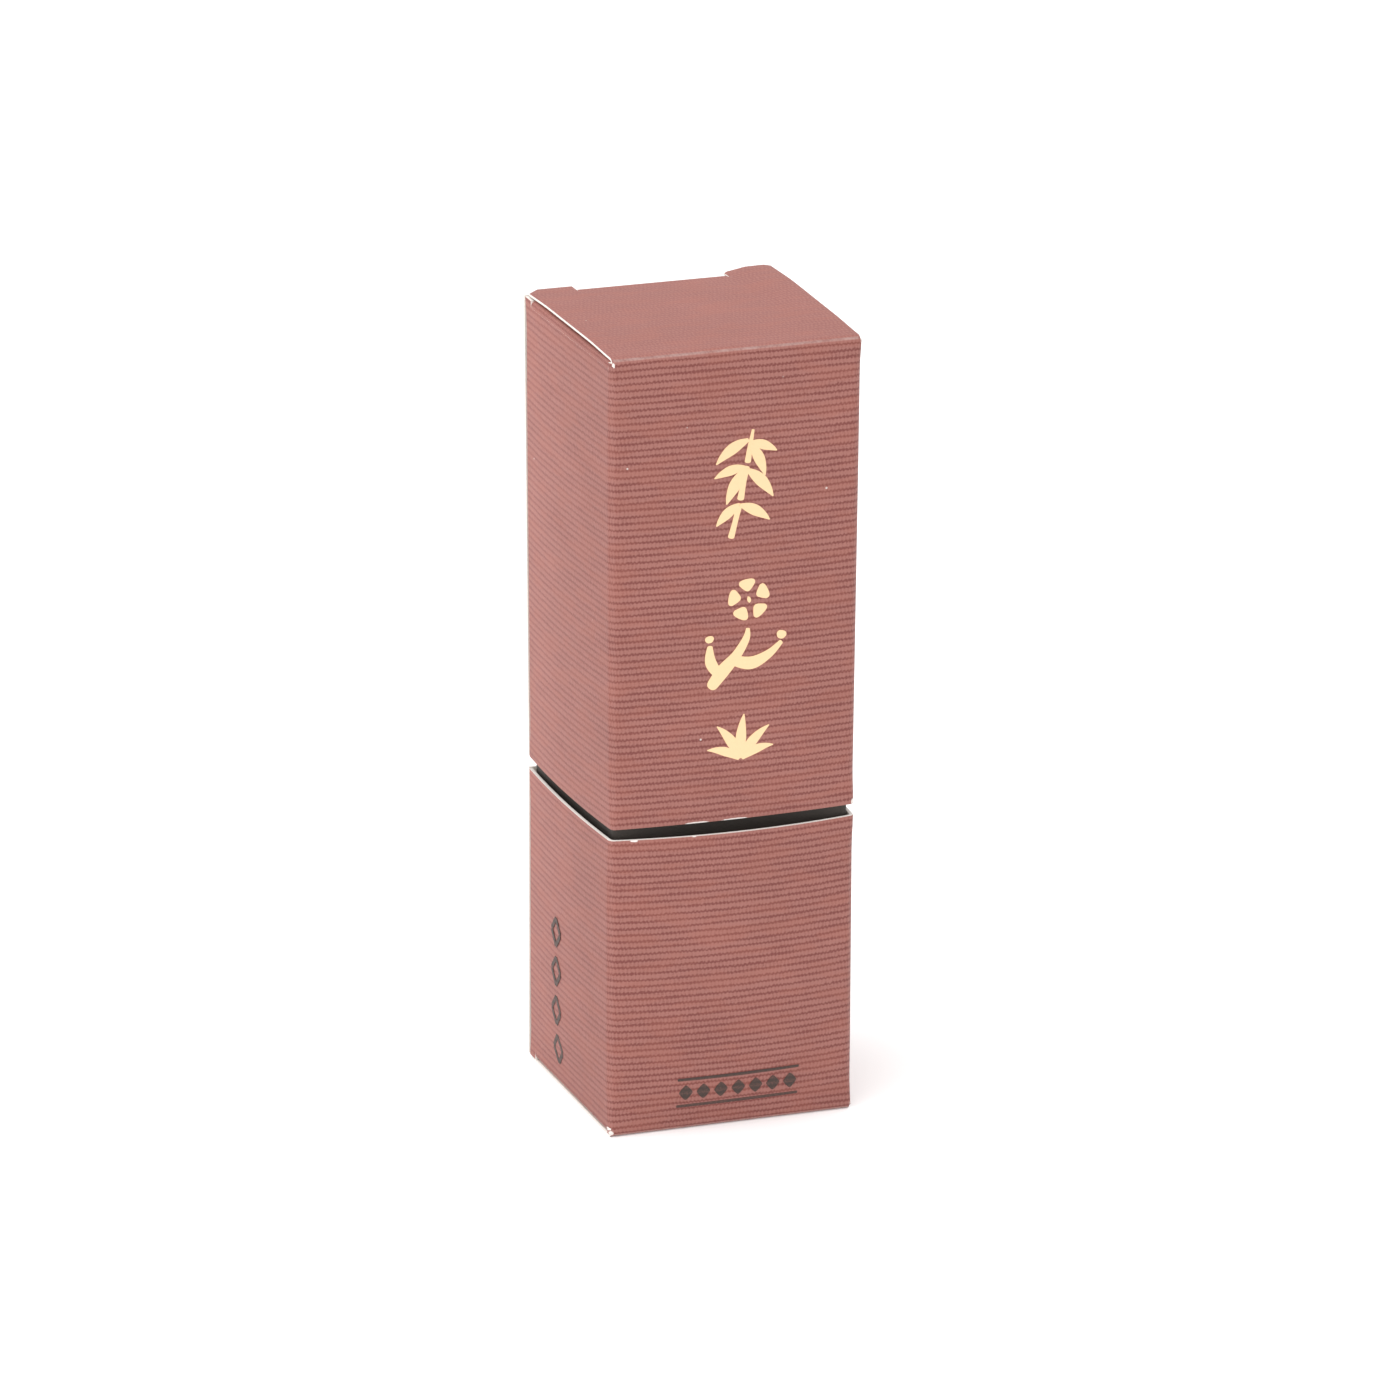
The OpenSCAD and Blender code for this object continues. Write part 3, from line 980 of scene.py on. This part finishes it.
class CARTON_OT_tuck_flaps(bpy.types.Operator):
    """Fold the tuck flaps of the lid and of the bottom panel"""
    bl_idname = "carton.tuck_flaps"
    bl_label = "Tuck flaps"

    def execute(self, context):
        for name, top, node, panel, flap in (
                ("lid_tuck", True, "cap_tuck_flap", "lid", "lid_tuck"),
                ("bottom_tuck_piece", False, "base_tuck_flap", "bottom", "bottom_tuck")):
            piece = tuck_flap(name, top)
            height = ENDS[top].height
            settle(Vector((0, JOIN_Y + 0.1 * MM, height(0))))
            settle(Vector((0, CREASE_Y + 0.45 * MM, height(1.1 * MM))))
            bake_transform(piece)
            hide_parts(node)
        return {"FINISHED"}


class CARTON_OT_dust_flaps(bpy.types.Operator):
    """Fold the four dust flaps over the side walls"""
    bl_idname = "carton.dust_flaps"
    bl_label = "Dust flaps"

    def execute(self, context):
        for top, wall in ((True, "cap"), (False, "base")):
            for side in ("left", "right"):
                piece = dust_flap(f"{wall}_dust_fold_{side}", top, side)
                way = 1 if side == "left" else -1
                height = ENDS[top].height
                run = 0.33 * MM
                start = Vector((way * (BOARD - HALF), 0, height(SIDE_LEAD)))
                end = Vector((way * (BOARD - HALF + run), 0, height(SIDE_LEAD - run)))
                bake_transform(piece)
                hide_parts(f"{wall}_dust_flap_{side}")
        return {"FINISHED"}


# ---- inner sleeve

SLEEVE_BOARD = 0.35 * MM
SLEEVE_CREASE = 0.8 * MM  # radius outside the sleeve's creases


class CARTON_OT_sleeve(bpy.types.Operator):
    """Fold the black sleeve that joins the cap to the base"""
    bl_idname = "carton.sleeve"
    bl_label = "Inner sleeve"

    def execute(self, context):
        tab_low, tab_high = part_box("sleeve_glue_tab")
        x, front, back = sleeve_high.x, sleeve_low.y, sleeve_high.y
        tab_y = back - SLEEVE_BOARD - TAB_GAP
        route = Route((x - BACK_END, back), (-x, back), (-x, front), (x, front), (x, tab_y),
                      (tab_low.x, tab_y))
        marks = route.marks
        piece = sheet("sleeve", (0, sleeve_low.z), (marks[-1], sleeve_high.z), 2 * sizes().grain)
        cut([mark + step for mark in marks[1:-1] for step in CREASE_STEPS])
        cut([tab_low.z], along_v=True)
        edge = 0.9 * MM
        drop(piece, lambda middle: middle.y < tab_low.z
             and (middle.x < marks[1] - edge or middle.x > marks[4] + edge))
        slant = TAB_SLANT / (marks[5] - marks[4])
        for corner, way in ((tab_high, 1), (tab_low, -1)):
            trim(piece, (marks[4], corner.z), (slant, way), lambda middle: middle.x > marks[4] + edge)
        write_map(piece)

        def place(u, v):
            point = route.at(u, SLEEVE_CREASE)[0]
            return Vector((point.x, point.y, v))

        bend(piece, place)
        finish_board(piece, ("black_board",), SLEEVE_BOARD)
        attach(piece, "base")
        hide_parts("inner_sleeve", "sleeve_glue_tab")
        return {"FINISHED"}


# ---- foil and print


SPOTS = 40  # points that a stroke's length is measured over
ASIDE = 0.01  # share of a stroke over which its direction is taken


def along(points, share):
    """A point on the smooth line through the given points; each also has a width."""
    spans = len(points) - 1
    place = min(share * spans, spans - 1e-9)
    i = int(place)
    t = place - i
    a, b, c, d = (Vector(points[min(max(k, 0), spans)]) for k in (i - 1, i, i + 1, i + 2))
    return 0.5 * (2 * b + (c - a) * t + (2 * a - 5 * b + 4 * c - d) * t ** 2
                  + (3 * b - a - 3 * c + d) * t ** 3)


def stroke(points, layer):
    """A flat brush stroke with round ends through (x, y, width) points in millimetres."""
    clear_selection()
    bpy.ops.mesh.primitive_grid_add(x_subdivisions=28, y_subdivisions=4, size=1)
    piece = bpy.context.object
    spots = [along(points, i / SPOTS).xy for i in range(SPOTS + 1)]
    length = sum((b - a).length for a, b in zip(spots, spots[1:]))
    for point in piece.data.vertices:
        share = 0.5 - 0.5 * math.cos(math.pi * (point.co.x + 0.5))
        middle = along(points, share)
        way = along(points, min(share + ASIDE, 1)).xy - along(points, max(share - ASIDE, 0)).xy
        way.normalize()
        half = middle.z / 2
        for free in (share * length, (1 - share) * length):
            if free < half:
                half = math.sqrt(max(middle.z * free - free * free, 0)) + 0.01
        across = 2 * point.co.y * half
        point.co = (middle.x - way.y * across, middle.y + way.x * across, layer)
    return piece


def join(pieces, name):
    clear_selection()
    for piece in pieces:
        piece.select_set(True)
    bpy.context.view_layer.objects.active = pieces[0]
    if len(pieces) > 1:
        bpy.ops.object.join()
    piece = bpy.context.object
    piece.name = piece.data.name = name
    return piece


def figure(name, strokes, tube, origin, finish, body, node):
    """Lays an ornament's strokes on a wall of a tube round a flat origin, as a thin film."""
    step = 0.004 * MM
    pieces = [stroke(points, sizes().film + i * step) for i, points in enumerate(strokes)]
    piece = join(pieces, name)
    lifts = []
    for point in piece.data.vertices:
        lifts.append(point.co.z)
        point.co = (origin[0] + point.co.x * MM, origin[1] + point.co.y * MM, 0)
    write_map(piece)
    for point, lift in zip(piece.data.vertices, lifts):
        point.co = tube.place(point.co.x, point.co.y, lift)
    edit(piece)
    bpy.ops.mesh.remove_doubles(threshold=1e-6)
    bpy.ops.object.mode_set(mode="OBJECT")
    piece.data.materials.append(material(finish))
    apply(piece, "SOLIDIFY", thickness=sizes().film * 1.5, offset=-1)
    soften(piece, FILM_ANGLE)
    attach(piece, body)
    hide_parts(node)


def leaf(x, y, degrees, length, width, sag=0.12):
    """Points of a leaf stroke that starts at a stem, swells and ends in a point."""
    a = math.radians(degrees)
    along_way = Vector((math.cos(a), math.sin(a)))
    across = Vector((-along_way.y, along_way.x))
    side = 1 if math.cos(a) > 0 else -1
    points = []
    for share, swell in ((0, 0.30), (0.25, 0.85), (0.5, 1.0), (0.78, 0.62), (1, 0.10)):
        place = Vector((x, y)) + along_way * length * share
        place += across * (side * sag * length * 4 * share * (1 - share))
        points.append((place.x, place.y, width * swell))
    return points


def bamboo():
    """A leaning stem with drooping leaves."""
    stem = [[(-1.3, -6.0, 0.75), (-0.75, -3.9, 0.62), (-0.35, -2.1, 0.8)],
            [(-0.25, -1.8, 0.8), (0.1, 0.2, 0.62), (0.45, 2.0, 0.8)],
            [(0.55, 2.3, 0.72), (0.85, 4.2, 0.55), (1.2, 6.0, 0.3)]]
    leaves = [leaf(0.7, 4.9, 214, 4.4, 1.25, 0.07), leaf(0.9, 4.6, -22, 3.2, 1.05, 0.05),
              leaf(0.9, 4.4, -66, 4.0, 1.2, 0.05), leaf(0.3, 1.9, 196, 3.6, 1.1, 0.06),
              leaf(0.4, 1.7, 240, 4.4, 1.35, 0.05), leaf(0.5, 1.6, -48, 4.4, 1.3, 0.06),
              leaf(-0.4, -2.2, 222, 3.4, 1.15, 0.05), leaf(-0.3, -2.3, -30, 3.9, 1.2, 0.06)]
    return stem + leaves


def plum():
    """A blossom of five round petals over a forked twig with two buds."""
    strokes = []
    for i in range(5):
        a = math.radians(97 + 72 * i)
        c, s = math.cos(a), math.sin(a)
        strokes.append([(0.5 + r * c, 3.2 + r * s, width)
                        for r, width in ((0.95, 0.5), (1.5, 1.5), (2.1, 2.05), (2.35, 2.0))])
    strokes.append([(0.3, 3.15, 0.8), (0.7, 3.25, 0.85)])
    strokes.append([(-3.9, -6.5, 1.2), (-2.4, -4.6, 1.55), (-0.9, -3.0, 1.15), (0.2, -1.2, 0.85),
                    (0.4, 0.0, 0.4)])
    strokes.append([(-1.3, -3.5, 1.1), (0.8, -4.0, 1.45), (2.8, -3.2, 1.0), (4.3, -1.9, 0.5)])
    strokes.append([(-2.8, -5.1, 1.0), (-3.8, -3.5, 1.25), (-3.9, -1.6, 0.55)])
    strokes.append([(4.1, -1.6, 0.9), (4.4, -0.7, 1.35)])
    strokes.append([(-3.9, -1.3, 0.8), (-4.0, -0.5, 1.2)])
    return strokes


def grass():
    """A low fan of five blades."""
    return [leaf(-0.15, 0.1, 160, 3.9, 1.0, 0.10), leaf(-0.1, 0.15, 124, 4.7, 1.15, 0.07),
            leaf(0.0, 0.2, 86, 5.0, 1.2, 0.03), leaf(0.1, 0.15, 48, 4.7, 1.15, 0.07),
            leaf(0.15, 0.1, 19, 3.8, 1.0, 0.10)]


def foot_border():
    """Seven lozenges between two rules."""
    strokes = [[(-7.0, y, 0.32), (0, y, 0.36), (7.0, y, 0.30)] for y in (-1.6, 1.6)]
    for i in range(-3, 4):
        strokes.append([(2 * i - 0.75, -0.02, 0.2), (2 * i, 0.0, 1.75), (2 * i + 0.75, 0.02, 0.2)])
    return strokes


def side_border():
    """A column of four hollow lozenges."""
    strokes = []
    for i in range(4):
        y = 4.6 * (i - 1.5)
        corners = [(1.5, 0), (0, 1.6), (-1.5, 0), (0, -1.6)]
        for (ax, ay), (bx, by) in zip(corners, corners[1:] + corners[:1]):
            strokes.append([(ax, y + ay, 0.6), (bx, y + by, 0.6)])
    return strokes


GRASS_FALL = 2.5 * MM  # the tuft's stem lies that far below its node's middle


def middle_of(node):
    low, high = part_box(node)
    return (low + high) / 2


class CARTON_OT_foil(bpy.types.Operator):
    """Stamp the three foil ornaments on the cap's front"""
    bl_idname = "carton.foil"
    bl_label = "Foil ornaments"

    def execute(self, context):
        for name, strokes, node, fall in (("bamboo_foil", bamboo(), "foil_upper", 0),
                                          ("plum_foil", plum(), "foil_middle", 0),
                                          ("grass_foil", grass(), "foil_lower", GRASS_FALL)):
            middle = middle_of(node)
            origin = (FRONT_MID + middle.x, middle.z - fall)
            figure(name, strokes, CAP, origin, "stamped_foil", "cap", node)
        return {"FINISHED"}


class CARTON_OT_print(bpy.types.Operator):
    """Print the ornaments on the base's front and left side"""
    bl_idname = "carton.ornament_print"
    bl_label = "Printed ornaments"

    def execute(self, context):
        middle = middle_of("front_print")
        figure("foot_print", foot_border(), BASE, (FRONT_MID + middle.x, middle.z),
               "printed_ink", "base", "front_print")
        middle = middle_of("side_print")
        figure("side_lozenges", side_border(), BASE, (LEFT_MID - middle.y, middle.z),
               "printed_ink", "base", "side_print")
        return {"FINISHED"}


# ---- incense


RINGS = 14  # rows of faces up a cone
PITCH = 12.2 * MM  # from cone to cone
TIP = 1.8 * MM  # width of a cone's tip
FULL = 0.035  # how much a cone's side is fuller than straight
LUMP = 0.10 * MM  # how far its lumps stand out
WORN = 0.12 * MM  # how far all of it is in from its node


def cone(name, foot, height, width, tip):
    """A pressed cone with a rounded tip, a full side and a softly worn foot."""
    clear_selection()
    bpy.ops.mesh.primitive_cone_add(vertices=40, radius1=width / 2, radius2=tip / 2,
                                    depth=height, location=foot + Vector((0, 0, height / 2)))
    piece = bpy.context.object
    piece.name = piece.data.name = name
    piece.data.transform(Matrix.Translation(piece.location))
    piece.location = (0, 0, 0)
    edit(piece)
    for i in range(1, RINGS):
        bpy.ops.mesh.select_all(action="SELECT")
        bpy.ops.mesh.bisect(plane_co=(0, 0, foot.z + height * (i / RINGS) ** 1.15),
                            plane_no=(0, 0, 1), threshold=1e-7)
    bpy.ops.object.mode_set(mode="OBJECT")
    for point in piece.data.vertices:
        share = (point.co.z - foot.z) / height
        arm = Vector((point.co.x - foot.x, point.co.y - foot.y))
        angle = math.atan2(arm.y, arm.x)
        full = 1 + FULL * math.sin(math.pi * share) * (1 - share)
        lump = LUMP * math.sin(3 * angle + 40 * foot.x / MM) * math.sin(9 * share + foot.y / MM)
        arm = arm * full
        arm += arm.normalized() * (lump * smooth(share * 8) * smooth((1 - share) * 8) - WORN)
        point.co = (foot.x + arm.x, foot.y + arm.y, point.co.z)
    apply(piece, "BEVEL", width=0.5 * MM, segments=3, limit_method="ANGLE",
          angle_limit=math.radians(CONE_ANGLE))
    soften(piece, CONE_ANGLE)
    return piece


class CARTON_OT_incense(bpy.types.Operator):
    """Press the three layers of four incense cones"""
    bl_idname = "carton.incense"
    bl_label = "Incense cones"

    def execute(self, context):
        for layer in ("lower", "middle", "upper"):
            node = "cones_" + layer
            low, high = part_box(node)
            width = high.x - low.x - PITCH
            cones = []
            for i in (-0.5, 0.5):
                for j in (-0.5, 0.5):
                    foot = Vector(((low.x + high.x) / 2 + i * PITCH,
                                   (low.y + high.y) / 2 + j * PITCH, low.z))
                    cones.append(cone("cone", foot, high.z - low.z, width, TIP))
            piece = join(cones, "incense_" + layer)
            piece.data.materials.append(material("wood_powder"))
            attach(piece, "base")
            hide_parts(node)
        return {"FINISHED"}


# ---- studio


def floor_material():
    look = Look("studio_floor", Roughness=0.9, Emission_Strength=0.15)
    cloud = look.noise(look.solid(), 0.004, 2.0)
    return look.wear(Base_Color=look.tint(tuple(finishes().floor), cloud * 0.02 + 0.99))


AIM = Vector((0, 0, 45 * MM))  # the camera looks at this place,
AIM_RIGHT = 0.3116 * MM  # moved that far to its right
AIM_UP = 0.2098 * MM  # and up
KEY_SIZE = 1.3
KEY_PLACE = Vector((-0.50, -0.20, 0.85))


def studio_camera(studio):
    """The camera, turned round the carton by the studio's angles."""
    data = bpy.data.cameras.new("camera")
    data.sensor_width = 36
    data.lens = studio.lens
    data.clip_end = 20
    camera = bpy.data.objects.new("camera", data)
    bpy.context.scene.collection.objects.link(camera)
    a, e = studio.azimuth, studio.elevation
    back = Vector((math.sin(a) * math.cos(e), -math.cos(a) * math.cos(e), math.sin(e)))
    right = Vector((math.cos(a), math.sin(a), 0))
    up = back.cross(right)
    target = AIM + right * AIM_RIGHT + up * AIM_UP
    camera.location = target + back * studio.distance
    camera.rotation_euler = (-back).to_track_quat("-Z", "Y").to_euler()
    camera.rotation_euler.rotate_axis("Z", studio.roll)
    bpy.context.scene.camera = camera


def soft_light(name, power, size, place):
    """A large square light that faces the carton's middle."""
    data = bpy.data.lights.new(name, "AREA")
    data.energy = power
    data.size = size
    light = bpy.data.objects.new(name, data)
    bpy.context.scene.collection.objects.link(light)
    light.location = place
    light.rotation_mode = "QUATERNION"
    light.rotation_quaternion = (Vector((0, 0, TOP / 2)) - light.location).to_track_quat("-Z", "Y")


class CARTON_OT_studio(bpy.types.Operator):
    """Add the pale floor, the soft light and the camera"""
    bl_idname = "carton.studio"
    bl_label = "Studio"

    def execute(self, context):
        studio = context.scene.carton_studio
        clear_selection()
        bpy.ops.mesh.primitive_grid_add(x_subdivisions=8, y_subdivisions=8, size=6)
        floor = bpy.context.object
        floor.name = "floor"
        floor.data.materials.append(floor_material())
        world = bpy.data.worlds.new("studio")
        world.use_nodes = True
        background = world.node_tree.nodes["Background"]
        background.inputs["Color"].default_value = (1, 1, 1, 1)
        background.inputs["Strength"].default_value = studio.sky
        context.scene.world = world
        soft_light("key", studio.key, KEY_SIZE, KEY_PLACE)
        context.scene.view_settings.view_transform = "Standard"
        studio_camera(studio)
        return {"FINISHED"}


# ---- add-on

STEPS = (CARTON_OT_walls, CARTON_OT_end_panels, CARTON_OT_tuck_flaps, CARTON_OT_dust_flaps,
         CARTON_OT_sleeve, CARTON_OT_foil, CARTON_OT_print, CARTON_OT_incense, CARTON_OT_studio)


class CARTON_PT_sidebar(bpy.types.Panel):
    """Lists the carton's steps in the order in which they are made"""
    bl_label = "Incense carton"
    bl_idname = "CARTON_PT_sidebar"
    bl_space_type = "VIEW_3D"
    bl_region_type = "UI"
    bl_category = "Carton"

    def draw(self, context):
        for step in STEPS:
            self.layout.operator(step.bl_idname)
        for group in ("carton_sizes", "carton_finishes", "carton_studio"):
            column = self.layout.column()
            settings = getattr(context.scene, group)
            for name in settings.__annotations__:
                column.prop(settings, name)


GROUPS = {"carton_sizes": CartonSizes, "carton_finishes": CartonFinishes,
          "carton_studio": CartonStudio}


def register():
    for kind in (*GROUPS.values(), *STEPS, CARTON_PT_sidebar):
        bpy.utils.register_class(kind)
    for name, group in GROUPS.items():
        setattr(bpy.types.Scene, name, bpy.props.PointerProperty(type=group))


def unregister():
    for name in GROUPS:
        delattr(bpy.types.Scene, name)
    for kind in (CARTON_PT_sidebar, *reversed(STEPS), *GROUPS.values()):
        bpy.utils.unregister_class(kind)


def main():
    register()
    for step in STEPS:
        group, name = step.bl_idname.split(".")
        getattr(getattr(bpy.ops, group), name)()


if __name__ == "__main__":
    main()
